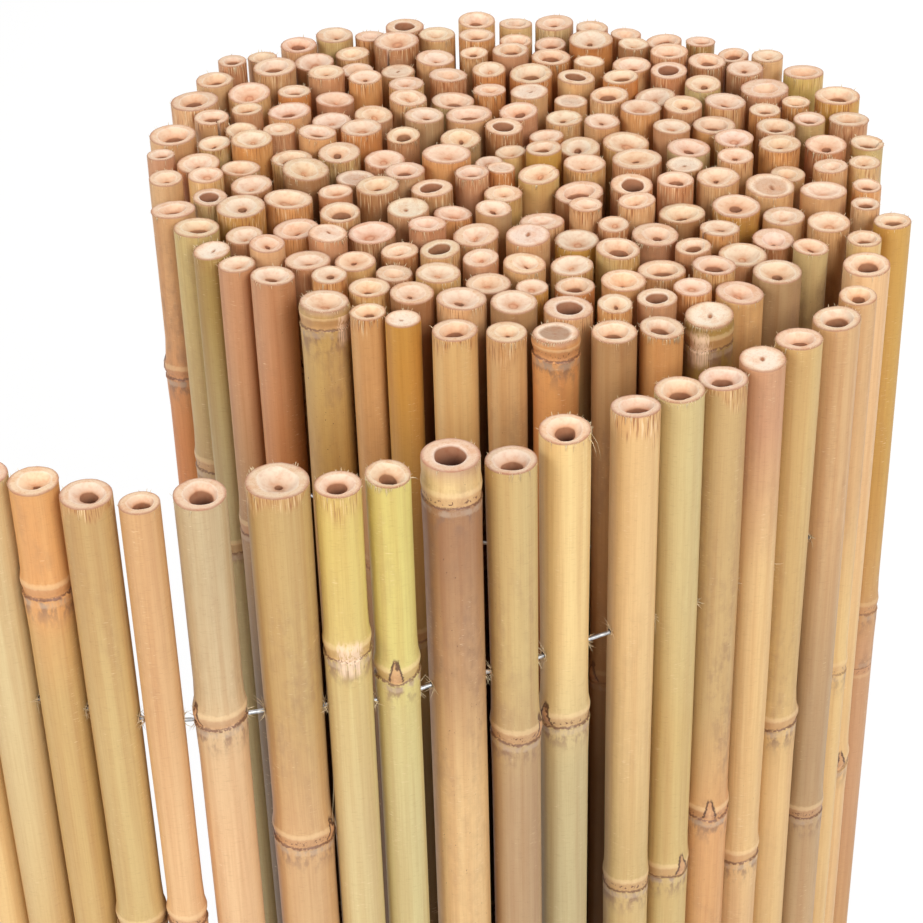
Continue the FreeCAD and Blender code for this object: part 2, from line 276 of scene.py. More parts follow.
# Three levels of detail: the culms in front, the rest of the outer two turns, and those inside.
# For each: columns round the culm, the step between rings along it, then where the rings stand
# under the sawn top and about a node.
detail = {
    "front": {"columns": 30, "step": 50, "under": [0.55, 1.4, 3, 6, 10, 15, 22],
              "node": [-14, -8, -4.5, -2.4, -1.3, -0.7, -0.3, 0.0, 0.35, 0.8, 1.6, 2.7, 3.8, 4.7, 5.8,
                       8, 14]},
    "outside": {"columns": 24, "step": 80, "under": [0.55, 1.4, 3, 6, 10, 15, 22],
                "node": [-14, -4.5, -1.2, -0.3, 0.0, 0.8, 2.2, 3.6, 4.8, 7.5, 14]},
    "inside": {"columns": 22, "step": 160, "under": [0.6, 2.5, 8, 22], "node": [-5, -0.4, 1.0, 4.6]}}


def detailOf(culm):
    number = culm["number"]
    return detail["front" if number < frontCulms else "outside" if number < secondTurn else "inside"]


# Heights of the side's rings: close together at nodes and under the sawn top.
def ringHeights(culm):
    top = culm["top"]
    steps = detailOf(culm)["node"]
    heights = [0.4, 3.0] + [top - d for d in detailOf(culm)["under"]]
    heights += list(np.arange(25, top - 30, detailOf(culm)["step"]))
    clear = [h for h in heights
             if not any(n + steps[0] - 1 < h < n + steps[-1] + 1 for n in culm["nodes"])]
    for node in culm["nodes"]:
        clear += [node + step for step in steps if node + step < top - 0.7]
    return np.array(sorted(set(np.round(clear, 3))))


# The outline seen from above: 1, plus a slow oval and a finer unevenness.
def outline(culm, angles):
    p = culm["phase"]
    wave = np.sin(2 * angles + p[0]) + 0.5 * np.sin(3 * angles + p[1]) + 0.22 * np.sin(5 * angles + p[2])
    return 1 - culmShape["roundness"] * (1 + 0.55 * wave)


# How far a sheath scar runs up and down on its way round, with a dip under its bud.
def waver(culm, angles, index, facing):
    p = culm["phase"]
    return 0.45 * np.sin(angles + p[index % 12]) + 0.25 * np.sin(3 * angles + p[5]) - 0.9 * facing ** 16


# What points that are far from any node carry in place of its height, stain, way round and look.
farFromRings = (400, 0, 40, 1)


def farRing(one):
    return tuple(value * one for value in farFromRings)


# How far the skin stands out from the plain outline at a height, as humps at each node: skirt,
# scar ring, groove, ridge and bud, then a waist above. Buds sit on opposite sides in turn. Also
# the height above the nearest scar, the strength of its stain, the way round from its bud, and
# the bud's look.
def sideForm(culm, angles, height):
    shape = culmShape
    one = np.ones(len(angles))
    out = 0 * one
    lift = 0 * one
    ring = farRing(one)
    nearest = 1e9
    for index, node in enumerate(sorted(culm["nodes"], reverse=True)):
        d = height - node
        stout = culm["stout"][index % 12]
        turn = (angles - culm["budSide"] - math.pi * index + math.pi) % (2 * math.pi) - math.pi
        facing = np.clip(np.cos(turn), 0, 1) * (culm["budLook"] > 0 or index > 0)
        out += stout * (shape["skirt"] * smooth(-16, -1, d) * (1 - smooth(-1, 1, d))
                        + shape["scarRing"] * hump(d, -0.2, 0.45) - shape["groove"] * hump(d, 0.8, 0.6)
                        + shape["ridge"] * hump(d, shape["ridgeAt"], 2.0))
        out -= shape["waist"] * smooth(4, 14, d) * (1 - smooth(25, 90, d))
        out += shape["bud"] * hump(d, 3.2, 2.2) * facing ** 18
        out -= shape["budDent"] * smooth(5, 12, d) * (1 - smooth(50, 130, d)) * facing ** 12
        lift += waver(culm, angles, index, facing) * hump(d, 0, 7)
        if abs(d) < nearest:
            nearest = abs(d)
            strength = culm["stain"][index % 12] * (1 - smooth(20, 34, nearest))
            look = culm["budLook"] if index == 0 else 1.0
            ring = (d * one, strength * one, np.abs(turn) * culm["radius"], look * one)
    return out, lift, ring


# The sawn top from the rim inwards: share of the radius, depth, colour and material of each ring. The wall
# is nearly flat, then the pith falls away as a power of the way in to the throat. The colours darken inward
# and downward through funnel, throat and bore to the deepest: painted shade in the hollow. The lighter lip
# is partly the paler inner wall and partly a painted highlight.
def topRings(culm):
    r = culm["radius"]
    chance = culm["chance"]
    outside = culm["number"] < outermost
    wall = [(0.985, 0.12, cut["edge"], sawnFace), (0.93, 0.0, cut["outer"], sawnFace),
            (0.86, 0.02, cut["wall"], sawnFace)]
    if culm["kind"] == "closed":
        aged = chance.uniform(0, 1) if culm["number"] >= secondTurn else 0
        stain = cut["cap"] + (cut["outer"] - cut["cap"]) * aged
        if culm["number"] == darkCap:
            stain = cut["capStain"]
        sink = r * chance.uniform(0.03, 0.12)
        return wall + [(0.76, 0.25 * sink, cut["lip"], sawnFace), (0.60, 0.8 * sink, stain, sawnFace),
                       (0.38, sink, stain, sawnFace), (0.16, 0.8 * sink, stain, sawnFace),
                       (0.05, 1.5 * sink, cut["throat"], sawnFace)]
    if culm["kind"] == "open":
        return wall + [(0.72, 0.05, cut["wall"], sawnFace), (0.58, 0.10, cut["lip"], sawnFace),
                       (0.53, 0.7, cut["throat"], lining), (0.51, 2.4, cut["throat"], lining),
                       (0.50, 6.0, cut["bore"], lining), (0.48, 12.0, cut["paintedShadeDeep"], lining),
                       (0.47, 24.0, cut["paintedShadeDeep"], lining), (0.20, 25.0, cut["paintedShadeDeep"], lining)]
    wide = outside or chance.random() < 0.3
    lip = chance.uniform(0.62, 0.74) if wide else chance.uniform(0.70, 0.80)
    throat = chance.uniform(0.36, 0.50) if wide else chance.uniform(0.12, 0.30)
    depth = r * (chance.uniform(0.20, 0.40) if wide else chance.uniform(0.16, 0.30))
    if culm["kind"] == "narrow":
        lip, throat = chance.uniform(0.54, 0.68), chance.uniform(0.10, 0.20)
    shade = np.array([1, 0.98, 0.95]) ** chance.uniform(-1, 4)
    rings = wall + [(lip + 0.06, 0.04, cut["wall"], sawnFace), (lip, 0.10, cut["lip"], sawnFace)]
    for t in (0.10, 0.28, 0.55, 0.80):
        colour = (cut["lip"] * (1 - t) + (cut["pith"] * (1 - t) + cut["funnel"] * t) * t) * shade
        rings.append((lip + (throat - lip) * t, 0.10 + depth * (1 - (1 - t) ** 1.6), colour, lining))
    rings.append((throat, 0.12 + depth, cut["funnel"] * shade, lining))
    if not wide and chance.random() < 0.45:     # the pith has stayed in and fills the bore
        return rings + [(throat * 0.8, depth + 0.35, cut["throat"] * 1.4, lining),
                        (throat * 0.4, depth + 0.55, cut["funnel"] * shade, lining)]
    return rings + [(throat * 0.96, depth + 0.6, cut["throat"], lining),
                    (throat * 0.93, depth + 2.2, cut["throat"], lining),
                    (throat * 0.90, depth + 5, cut["bore"], lining),
                    (throat * 0.85, 13.6, cut["paintedShadeDeep"], lining), (throat * 0.3, 14.2, cut["paintedShadeDeep"], lining)]


# Angles of the grid's columns. A split gets a close pair at each of its edges.
def angleColumns(culm, count):
    angles = np.arange(count) * 2 * math.pi / count
    if culm["slot"] is None:
        return angles, np.zeros(count, bool)
    half = 0.5 / culm["radius"]
    away = np.abs((angles - culm["slot"] + math.pi) % (2 * math.pi) - math.pi)
    edges = culm["slot"] + np.array([-half - 0.01, -half, half, half + 0.01])
    angles = np.sort(np.concatenate([angles[away > half + 0.05], edges]) % (2 * math.pi))
    away = np.abs((angles - culm["slot"] + math.pi) % (2 * math.pi) - math.pi)
    return angles, away < half + 0.004


# The skin's colour round one ring: two hues down the culm, one slow swing between them below, and a darker
# side.
def skinPaint(culm, angles, height):
    p = culm["phase"]
    under = culm["top"] - height
    soft = 12 if culm["change"] < 60 else 35
    turn = smooth(-soft, soft, under - culm["change"] + 7 * np.sin(angles + p[8]))
    swing = (0.5 + 0.5 * math.sin(under / 70 + p[9])) * smooth(150, 260, under)
    colour = blend(np.ones((len(angles), 3)) * culm["upper"], culm["lower"], turn)
    colour = blend(colour, culm["upper"], 0.5 * swing * np.ones(len(angles)))
    # A browner side round each culm: the culm's own uneven tone, and on the front culms, turned away from
    # the key lamp, also painted shade.
    side = smooth(-0.4, 0.9, np.sin(angles + p[10] + under / 200))
    colour = blend(colour, colour * np.array([0.92, 0.78, 0.62]), culm["side"] * side)
    if culm["number"] == paleStub:
        colour = blend(colour, skin["paleYellow"], (1 - smooth(12.8, 13.6, under)) * np.ones(len(angles)))
    if culm["number"] >= outermost:             # painted shade, darker and browner further down inside the roll
        paintedShadeDeep = smooth(70, 190, under) if culm["number"] < secondTurn else smooth(14, 90, under)
        colour = colour * (1 - 0.68 * paintedShadeDeep) * np.array([1, 0.96, 0.90])
    return colour * culm["tint"]


# A culm as rings of points from the foot's bore up the side and into the sawn top. A ring's point is the
# axis, bent a little along its length, plus the outline, the ring's radius and what stands out.
def culmGrid(culm):
    r, top, p = culm["radius"], culm["top"], culm["phase"]
    chance = culm["chance"]
    angles, notch = angleColumns(culm, detailOf(culm)["columns"])
    one = np.ones(len(angles))
    shape = outline(culm, angles)
    far = farRing(one)
    rows = []
    # The foot's bore: its colours darken with depth as painted shade.
    for share, height, colour, finish in ((0.16, 12.8, "paintedShadeDeep", lining), (0.40, 12.2, "paintedShadeDeep", lining),
                                          (0.44, 0.6, "bore", lining), (0.52, 0.0, "wall", sawnFace),
                                          (0.94, 0.0, "outer", sawnFace)):
        rows.append((share * r * shape, height * one, cut[colour] * one[:, None], finish, 0 * one, far))
    tilt = culm["lean"] * (1 - np.cos(angles - p[11]))
    for height in ringHeights(culm):
        out, lift, ring = sideForm(culm, angles, height)
        under = top - height
        z = height + lift * smooth(0.4, 4, under) - tilt * smooth(25, 0, under)
        fade = smooth(0, 2.5, height) * smooth(-0.2, 1.2, under)
        length = 9 + 5 * np.sin(angles + p[7]) + 3 * np.sin(4 * angles + p[1])
        fray = 1 - smooth(0.3, 1.0, under / length)
        rows.append((r * shape + out * fade, z, skinPaint(culm, angles, height), skinFace, fray, ring))
    ragged = culm["ragged"] * (0.05 * np.sin(7 * angles + p[3]) + 0.05 * np.sin(13 * angles + p[4]))
    worn = blend(skinPaint(culm, angles, top), cut["edge"] * 0.85, 0.7 * one)
    rows.append((r * shape - 0.02, top - 0.18 - tilt + ragged * 0.5, worn, skinFace, one, far))
    drift = chance.uniform(-0.10, 0.10, 2) * r
    oval = culm["ragged"] * 0.03
    centres = []
    for share, depth, colour, finish in topRings(culm):
        wobble = 1 + (oval * np.sin(2 * angles + p[5]) + oval * 0.6 * np.sin(3 * angles + p[2])
                      + 0.02 * np.sin(5 * angles + p[6])) * smooth(0.97, 0.7, share)
        flat = 1 if depth < 3 else 0.3
        rows.append((share * r * shape * wobble, top - depth - tilt * flat + 0.4 * ragged * flat,
                     colour * culm["tint"] * one[:, None], finish, 0 * one, far))
        centres.append(drift * np.clip((0.93 - share) * 1.6, 0, 1))
    centres = [np.zeros(2)] * (len(rows) - len(centres)) + centres
    slotFloor = top - reading["split"] * r
    bend = culm["bend"]
    points, paints, finishes, frays, rings = [], [], [], [], []
    for (radius, z, paint, finish, fray, ring), shift in zip(rows, centres):
        # A split's floor takes the deepest colour: painted shade in the split.
        split = notch & (z > slotFloor)
        z = np.where(split, slotFloor, z)
        paint = np.where(split[:, None], cut["paintedShadeDeep"], paint)
        along = np.clip(z / top, 0, 1) * (len(bend) - 1)
        bow = np.stack([np.interp(along, np.arange(len(bend)), bend[:, k]) for k in (0, 1)], -1)
        points.append(np.column_stack([culm["x"] + radius * np.cos(angles) + bow[:, 0] + shift[0],
                                       culm["y"] + radius * np.sin(angles) + bow[:, 1] + shift[1], z]))
        paints.append(paint)
        finishes.append(finish)
        frays.append(fray)
        rings.append(np.stack(ring, -1))
    return np.array(points), np.array(paints), np.array(finishes), np.array(frays), np.array(rings)


# Splinters, burrs and drilled holes

# The drilled hole's middle stands this far above the wire's, and its mouth is laid as rings of a radius, a
# height above the skin and a colour. The mouth is a flat disc just proud of the skin: a pale ring of torn
# fibre round a dark middle in the bore and deepest colours, which is painted shade of the hole.
drilledHole = {"rise": 0.33, "corners": 10,
               "mouth": ((1.30, -0.05, "fibre"), (1.12, 0.10, "fibre"), (0.98, 0.08, "bore"),
                         (0.75, 0.04, "paintedShadeDeep"), (0.02, 0.03, "paintedShadeDeep"))}

# How thick the loose fibres are at their roots, and how many stand round a hole that shows and
# round one that doesn't.
splinters = {"rimThick": (0.09, 0.20), "holeThick": (0.13, 0.28), "strandThick": 0.16,
             "shown": (12, 20), "hidden": (2, 6)}

bladeFaces = [(0, 1, 4, 3), (1, 2, 5, 4), (2, 0, 3, 5), (3, 4, 7, 6), (4, 5, 8, 7), (5, 3, 6, 8),
              (6, 7, 9), (7, 8, 9), (8, 6, 9), (2, 1, 0)]


# A loose fibre: three shrinking three-sided rings along a parabola from its root, and a point.
def blade(root, direction, curl, sideways, width):
    inward = np.cross(direction, sideways)
    inward /= np.linalg.norm(inward) + 1e-9
    corners = []
    for t, thick in ((0, 1.0), (0.45, 0.75), (0.8, 0.4)):
        middle = root + direction * t + curl * t * t
        corners += [middle + width * thick * (sideways * math.cos(a) + inward * math.sin(a) * 0.5)
                    for a in (0, 2.1, 4.2)]
    return np.array(corners + [root + direction + curl])


# The level directions straight out of a culm at an angle and round along its skin.
def outAndRound(angle):
    return (np.array([math.cos(angle), math.sin(angle), 0]),
            np.array([-math.sin(angle), math.cos(angle), 0]))


# Fibres at the sawn rim, denser on one side: a good half hang down outside over the skin, and the
# others stand up and curl.
def rimFibres(culm, amount):
    chance = culm["chance"]
    r, top = culm["radius"], culm["top"]
    focus = chance.uniform(0, 2 * math.pi)
    fibres = []
    for _ in range(int(amount)):
        angle = chance.normal(focus, 0.8) if chance.random() < 0.6 else chance.uniform(0, 2 * math.pi)
        radial, around = outAndRound(angle)
        drop = culm["lean"] * (1 - math.cos(angle - culm["phase"][11]))
        root = np.array([culm["x"], culm["y"], top - 0.35 - drop]) + radial * (r - 0.25)
        if chance.random() < 0.55:
            length = chance.uniform(0.8, 2.6) * (1 + culm["fray"])
            direction = radial * 0.42 + around * chance.uniform(-0.2, 0.2)
            curl = np.array([0, 0, -length]) + around * chance.uniform(-0.25, 0.25) - radial * 0.15
        else:
            length = chance.uniform(0.4, 1.3)
            direction = (radial * chance.uniform(0.0, 0.7) + np.array([0, 0, 0.9])) * length
            direction = direction + around * chance.uniform(-0.4, 0.4) * length
            curl = radial * chance.uniform(-0.2, 0.6) * length
        fibres.append(blade(root, direction, curl, around, chance.uniform(*splinters["rimThick"])))
    return fibres


# Torn fibres round a drilled hole, splayed out of it.
def holeFibres(culm, side, height):
    chance = culm["chance"]
    radial, around = outAndRound(side)
    centre = np.array([culm["x"], culm["y"], height]) + radial * (culm["radius"] - 0.15)
    fibres = []
    shown = culm["number"] < frontCulms and height > 900      # the top row, in front
    for _ in range(chance.integers(*splinters["shown" if shown else "hidden"])):
        turn = chance.uniform(0, 2 * math.pi)
        spoke = around * math.cos(turn) + np.array([0, 0, math.sin(turn)])
        length = chance.uniform(1.0, 4.2)
        spread = radial * chance.uniform(-0.8, 0.9) + np.array([0, 0, chance.uniform(-0.8, 0.8)])
        fibres.append(blade(centre + spoke * 1.05, (radial * 0.15 + spoke * 0.9) * length, spread * length,
                            np.cross(radial, spoke), chance.uniform(*splinters["holeThick"])))
    return fibres


# Long strands torn off the culm's skin, as a parabola out and along.
def strands(culm):
    torn = []
    for degrees, under, out, along, back in seenStrands.get(culm["number"], []):
        radial, around = outAndRound(math.radians(degrees))
        root = np.array([culm["x"], culm["y"], culm["top"] - under]) + radial * (culm["radius"] - 0.1)
        direction = radial * out * 1.6 + np.array([0, 0, along])
        curl = radial * out * -0.7 + np.array([0, 0, back]) + around * out * 0.4
        torn.append(blade(root, direction, curl, around, splinters["strandThick"]))
    return torn


# The mouth of a drilled hole, as rings about the hole's axis laid on the skin: a point at distance s and
# turn t round the axis stands at the angle asin(s cos t / r) and the height s sin t. Its dark middle is
# painted shade of the hole.
def holeMouth(culm, side, height):
    count = drilledHole["corners"]
    turns = np.arange(count) * 2 * math.pi / count
    points, paints = [], []
    for s, proud, colour in drilledHole["mouth"]:
        angle = side + np.arcsin(s * np.cos(turns) / culm["radius"])
        reach = culm["radius"] + proud
        points.append(np.column_stack([culm["x"] + reach * np.cos(angle), culm["y"] + reach * np.sin(angle),
                                       height + s * np.sin(turns)]))
        paints.append(np.tile(cut[colour], (count, 1)))
    return np.concatenate(points), np.concatenate(paints), gridFaces(len(points), count)


# Quads of a grid whose columns close into a ring, rows running up the outside.
def gridFaces(rowCount, columnCount):
    row = np.arange(rowCount - 1)[:, None] * columnCount
    column = np.arange(columnCount)[None, :]
    after = (column + 1) % columnCount
    quads = np.stack([row + column, row + after, row + columnCount + after, row + columnCount + column], -1)
    return quads.reshape(-1, 4)


# Putting meshes together

lowest = np.array(cadBox[0]) / mm      # nothing reaches beyond the solids' own box
highest = np.array(cadBox[1]) / mm


# The culms and fibres of one node, gathered to become one mesh.
class Bundle:
    def __init__(self):
        self.points, self.paints, self.wears, self.rings = [], [], [], []
        self.corners, self.sizes, self.finishes = [], [], []
        self.count = 0

    # Points with their colours, then faces as rows of corner numbers within them. The wear is how
    # mottled, frayed and specked a point is and the culm's own variety. The ring is sideForm's.
    def add(self, points, paints, faces, finishes, wear=(0, 0, 0, 0), ring=farFromRings):
        self.points.append(np.clip(points, lowest, highest))
        self.paints.append(np.column_stack([paints, np.ones(len(points))]))
        self.wears.append(np.broadcast_to(wear, (len(points), 4)))
        self.rings.append(np.broadcast_to(ring, (len(points), 4)))
        for group in faces:
            group = np.asarray(group)
            self.corners.append((group + self.count).ravel())
            self.sizes.append(np.full(len(group), group.shape[1]))
        self.finishes.append(finishes)
        self.count += len(points)

    def object(self, name, materials):
        corners = np.concatenate(self.corners).astype(np.int32)
        sizes = np.concatenate(self.sizes).astype(np.int32)
        starts = np.concatenate([[0], np.cumsum(sizes)[:-1]]).astype(np.int32)
        mesh = bpy.data.meshes.new(name)
        mesh.vertices.add(self.count)
        mesh.vertices.foreach_set("co", (np.concatenate(self.points) * mm).astype(np.float32).ravel())
        mesh.loops.add(len(corners))
        mesh.loops.foreach_set("vertex_index", corners)
        mesh.polygons.add(len(sizes))
        mesh.polygons.foreach_set("loop_start", starts)
        mesh.polygons.foreach_set("loop_total", sizes)
        mesh.polygons.foreach_set("material_index", np.concatenate(self.finishes).astype(np.int32))
        mesh.polygons.foreach_set("use_smooth", np.ones(len(sizes), bool))
        mesh.update(calc_edges=True)
        for layerName, values in (("paint", self.paints), ("wear", self.wears), ("ring", self.rings)):
            layer = mesh.color_attributes.new(layerName, "FLOAT_COLOR", "POINT")
            layer.data.foreach_set("color", np.concatenate(values).astype(np.float32).ravel())
        for material in materials:
            mesh.materials.append(material)
        piece = bpy.data.objects.new(name, mesh)
        bpy.context.scene.collection.objects.link(piece)
        return piece


# One culm's grid, closed at both poles by a fan, with its fibres and hole mouths. The mottling is
# strongest just above the depth where its two colours meet.
def addCulm(bundle, culm, holes):
    grid, paints, finishes, frays, rings = culmGrid(culm)
    rows, columns = grid.shape[:2]
    foot = grid[0].mean(axis=0)
    crown = grid[-1].mean(axis=0)
    crown[2] = grid[-1][:, 2].min() - 0.05
    points = np.concatenate([grid.reshape(-1, 3), [foot, crown]])
    paint = np.concatenate([paints.reshape(-1, 3), [paints[0][0], paints[-1][0]]])
    wear = np.tile((culm["mottle"], 0.0, culm["specks"], culm["phase"][0] / 6.3), (len(points), 1))
    wear[:rows * columns, 1] = (frays * culm["fray"]).ravel()
    under = culm["top"] - grid[:, :, 2]
    wear[:rows * columns, 0] *= (0.2 + 0.8 * hump(under, culm["change"] - 30, 38)).ravel()
    ring = np.concatenate([rings.reshape(-1, 4), [farFromRings, farFromRings]])
    column = np.arange(columns)
    after = (column + 1) % columns
    last = (rows - 1) * columns
    footFan = np.stack([after, column, np.full(columns, rows * columns)], -1)
    crownFan = np.stack([last + column, last + after, np.full(columns, rows * columns + 1)], -1)
    finish = np.concatenate([np.repeat(np.maximum(finishes[:-1], finishes[1:]), columns),
                             np.full(columns, lining), np.full(columns, finishes[-1])])
    bundle.add(points, paint, [gridFaces(rows, columns), footFan, crownFan], finish, wear, ring)
    fibres = rimFibres(culm, culm["fringe"]) + strands(culm)
    for side, height in holes:
        mouth, mouthPaint, mouthFaces = holeMouth(culm, side, height)
        bundle.add(mouth, mouthPaint, [mouthFaces], np.full(len(mouthFaces), sawnFace))
        fibres += holeFibres(culm, side, height)
    for fibre in fibres:
        shade = cut["fibre"] * culm["chance"].uniform(0.75, 1.05)
        bundle.add(fibre, np.tile(shade, (len(fibre), 1)), [bladeFaces[:6], bladeFaces[6:]],
                   np.full(len(bladeFaces), sawnFace))


# Materials

# A node with its settings; links gives what feeds its sockets, a socket or a plain value.
def addNode(tree, kind, links=None, **settings):
    node = tree.nodes.new(kind)
    for key, value in settings.items():
        setattr(node, key, value)
    for socket, source in (links or {}).items():
        if isinstance(source, bpy.types.NodeSocket):
            tree.links.new(source, node.inputs[socket])
        else:
            node.inputs[socket].default_value = source
    return node


def newMaterial(name):
    material = bpy.data.materials.new(name)
    material.use_nodes = True
    tree = material.node_tree
    tree.nodes.clear()
    shader = addNode(tree, "ShaderNodeBsdfPrincipled")
    addNode(tree, "ShaderNodeOutputMaterial", {"Surface": shader.outputs[0]})
    return material, tree, shader


# Noise with features of a width in millimetres across the culm and a length along it.
def stretchedNoise(tree, width, length, fineness):
    where = addNode(tree, "ShaderNodeTexCoord")
    mapped = addNode(tree, "ShaderNodeMapping",
                     {"Vector": where.outputs["Object"], "Scale": (1, 1, width / length)})
    noise = addNode(tree, "ShaderNodeTexNoise",
                    {"Vector": mapped.outputs[0], "Scale": 1 / (width * mm), "Detail": fineness,
                     "Roughness": 0.6})
    return noise.outputs["Fac"]


# How strongly a mark shows: its most, times each thing that holds it in place. That is a socket as
# it is, or a soft step of it that is 0 at the first edge and 1 at the second, which may be the
# lower. With four edges it rises between the first two and falls between the last two.
def markStrength(tree, sockets, most, holds):
    strength = most
    for name, *edges in holds:
        parts = [sockets[name]] if not edges else []
        for start, end in zip(edges[0:1] + edges[3:4], edges[1:2] + edges[2:3]):
            step = addNode(tree, "ShaderNodeMapRange",
                           {"Value": sockets[name], "From Min": start, "From Max": end},
                           interpolation_type="SMOOTHSTEP")
            parts.append(step.outputs["Result"])
        for part in parts:
            product = addNode(tree, "ShaderNodeMath", {0: strength, 1: part}, operation="MULTIPLY")
            strength = product.outputs[0]
    return strength


# A colour with marks laid over it one after the other.
def layMarks(tree, sockets, colour, marks):
    for hue, mode, most, *holds in marks:
        strength = markStrength(tree, sockets, most, holds)
        mixed = addNode(tree, "ShaderNodeMix", {0: strength, 6: colour, 7: (*linear(hue), 1)},
                        data_type="RGBA", blend_type=mode, clamp_factor=True)
        colour = mixed.outputs[2]
    return colour


# Noises: width across the culm and length along it in millimetres, and fineness. Marks: hue, how it
# is mixed in, most, and what holds it in place. Heights above the scar are in millimetres.
budPlace = (("above", 0.3, 0.9, 7.5, 9.5), ("strength", 0.3, 0.5), ("budLook", 0.7, 0.9))
scarPlace = (("wobbly", -0.25, 0.13, 0.37, 0.75), ("strength",), ("rough", 0.22, 0.50))
bambooSkinValues = {
    "noises": {"fine": (0.45, 26, 3), "streak": (3.2, 160, 2), "patch": (2.6, 6, 5), "cloud": (9, 40, 2),
               "crack": (2.4, 0.28, 1), "speck": (0.8, 1.3, 2), "splinter": (0.42, 9, 1),
               "rough": (1.1, 1.1, 3)},
    "marks": [
        ("D09A62", "MULTIPLY", 0.26, ("streak", 0.38, 0.72)),
        ("C79A66", "MULTIPLY", 0.18, ("fine", 0.35, 0.80)),
        ("9C6E45", "MULTIPLY", 0.14, ("crack", 0.60, 0.72)),
        ("F0D9B2", "MIX", 0.50, ("crack", 0.33, 0.25), ("cloud", 0.50, 0.60)),           # pale scratches
        ("8F6A4E", "MIX", 0.80, ("patch", 0.38, 0.70), ("cloud", 0.34, 0.62), ("mottle",)),      # grime
        ("A88468", "MIX", 0.35, ("cloud", 0.52, 0.72), ("mottle",)),                             # dust
        ("5E3D26", "MIX", 1.00, ("speck", 0.70, 0.76), ("specks",)),
        ("8A6650", "MIX", 0.90, ("wobbly", -12, -1, -0.4, 0.4), ("strength",), ("patch", 0.42, 0.62)),
        ("D6BEA4", "MIX", 0.38, ("wobbly", -3.2, -2.2, -1, 0), ("strength",),
         ("patch", 0.30, 0.60)),                                        # waxy bloom below the scar
        ("C48A60", "MIX", 0.42, ("wobbly", -0.2, 0.8, 4, 5), ("strength",)),     # warm collar above it
        ("EDCC9C", "MIX", 0.40, ("wobbly", 3.5, 4.4, 5.4, 6.3), ("strength",)),  # and a painted highlight on the node's ridge
        ("643C28", "MIX", 0.90, *scarPlace),
        ("6A3F28", "MIX", 1.00, ("above", 1, 1.6, 2.8, 3.4), ("speck", 0.56, 0.64),
         ("variety", 0.4, 0.6), ("strength",)),                         # root dots, on some culms
        ("C08A60", "MIX", 0.70, ("budEdge", 2.72, 2.22), *budPlace),
        ("D9A878", "MIX", 0.80, ("budEdge", 1.42, 0.82), *budPlace),
        ("4E2E1E", "MIX", 0.90, ("budEdge", 1.92, 2.27, 2.57, 2.92), *budPlace),
        ("EBCBAC", "MIX", 0.85, ("tornEdge", 7.2, 5.2), ("wobbly", -7.5, -3.5, 5, 8),
         ("budLook", 0.2, 0.4, 0.6, 0.8), ("strength", 0.2, 0.6), ("fine", 0.66, 0.46)),
        ("CF8C54", "MIX", 0.24, ("fray", 0.05, 0.80)),                  # torn under the saw cut
        ("94562F", "MIX", 0.80, ("splinter", 0.54, 0.66), ("fray", 0.05, 0.80)),
        ("EFD6AC", "MIX", 0.60, ("splinter", 0.42, 0.32), ("fray", 0.05, 0.80))],
    "shiniest": 0.40, "dullest": 0.62, "bump": 0.035}


# What the skin's marks read: the noises, the culm's own wear, and the place among its node rings.
# Wobbly is the height above the scar, made uneven. A bud's edge is the way round from its middle
# plus a share of the height, made uneven too, and a torn bud's follows the fibres.
def skinSockets(tree):
    s = {name: stretchedNoise(tree, *sizes) for name, sizes in bambooSkinValues["noises"].items()}
    wear = addNode(tree, "ShaderNodeVertexColor", layer_name="wear").outputs
    ring = addNode(tree, "ShaderNodeVertexColor", layer_name="ring").outputs
    wearParts = addNode(tree, "ShaderNodeSeparateColor", {"Color": wear["Color"]}).outputs
    ringParts = addNode(tree, "ShaderNodeSeparateColor", {"Color": ring["Color"]}).outputs
    s.update(mottle=wearParts[0], fray=wearParts[1], specks=wearParts[2], variety=wear["Alpha"],
             above=ringParts[0], strength=ringParts[1], fromBud=ringParts[2], budLook=ring["Alpha"])
    for name, links, operation in (
            ("uneven", ("rough", 1.6, -0.8), "MULTIPLY_ADD"), ("wobbly", ("above", "uneven"), "ADD"),
            ("arch", ("above", 0.22, "fromBud"), "MULTIPLY_ADD"), ("budEdge", ("arch", "uneven"), "ADD"),
            ("tornEdge", ("fine", 6.0, "fromBud"), "MULTIPLY_ADD")):
        sources = {place: s.get(source, source) for place, source in enumerate(links)}
        s[name] = addNode(tree, "ShaderNodeMath", sources, operation=operation).outputs[0]
    return s


# Dried bamboo: a hard, waxy, satin skin. Fine lengthwise fibres and cross cracks show in it, and
# grey-brown mottling. At the nodes: a dark sheath scar, a waxy bloom below it, a bud above it.
def bambooSkin():
    material, tree, shader = newMaterial("driedBambooSkin")
    v = bambooSkinValues
    s = skinSockets(tree)
    paint = addNode(tree, "ShaderNodeVertexColor", layer_name="paint").outputs["Color"]
    tree.links.new(layMarks(tree, s, paint, v["marks"]), shader.inputs["Base Color"])
    dull = addNode(tree, "ShaderNodeMapRange",
                   {"Value": s["patch"], "To Min": v["shiniest"], "To Max": v["dullest"]})
    tree.links.new(dull.outputs["Result"], shader.inputs["Roughness"])
    scar = markStrength(tree, s, 1.0, scarPlace)
    relief = addNode(tree, "ShaderNodeMath", {0: scar, 1: -2.0, 2: s["fine"]}, operation="MULTIPLY_ADD")
    bump = addNode(tree, "ShaderNodeBump",
                   {"Height": relief.outputs[0], "Strength": 0.5, "Distance": v["bump"] * mm})
    tree.links.new(bump.outputs[0], shader.inputs["Normal"])
    return material


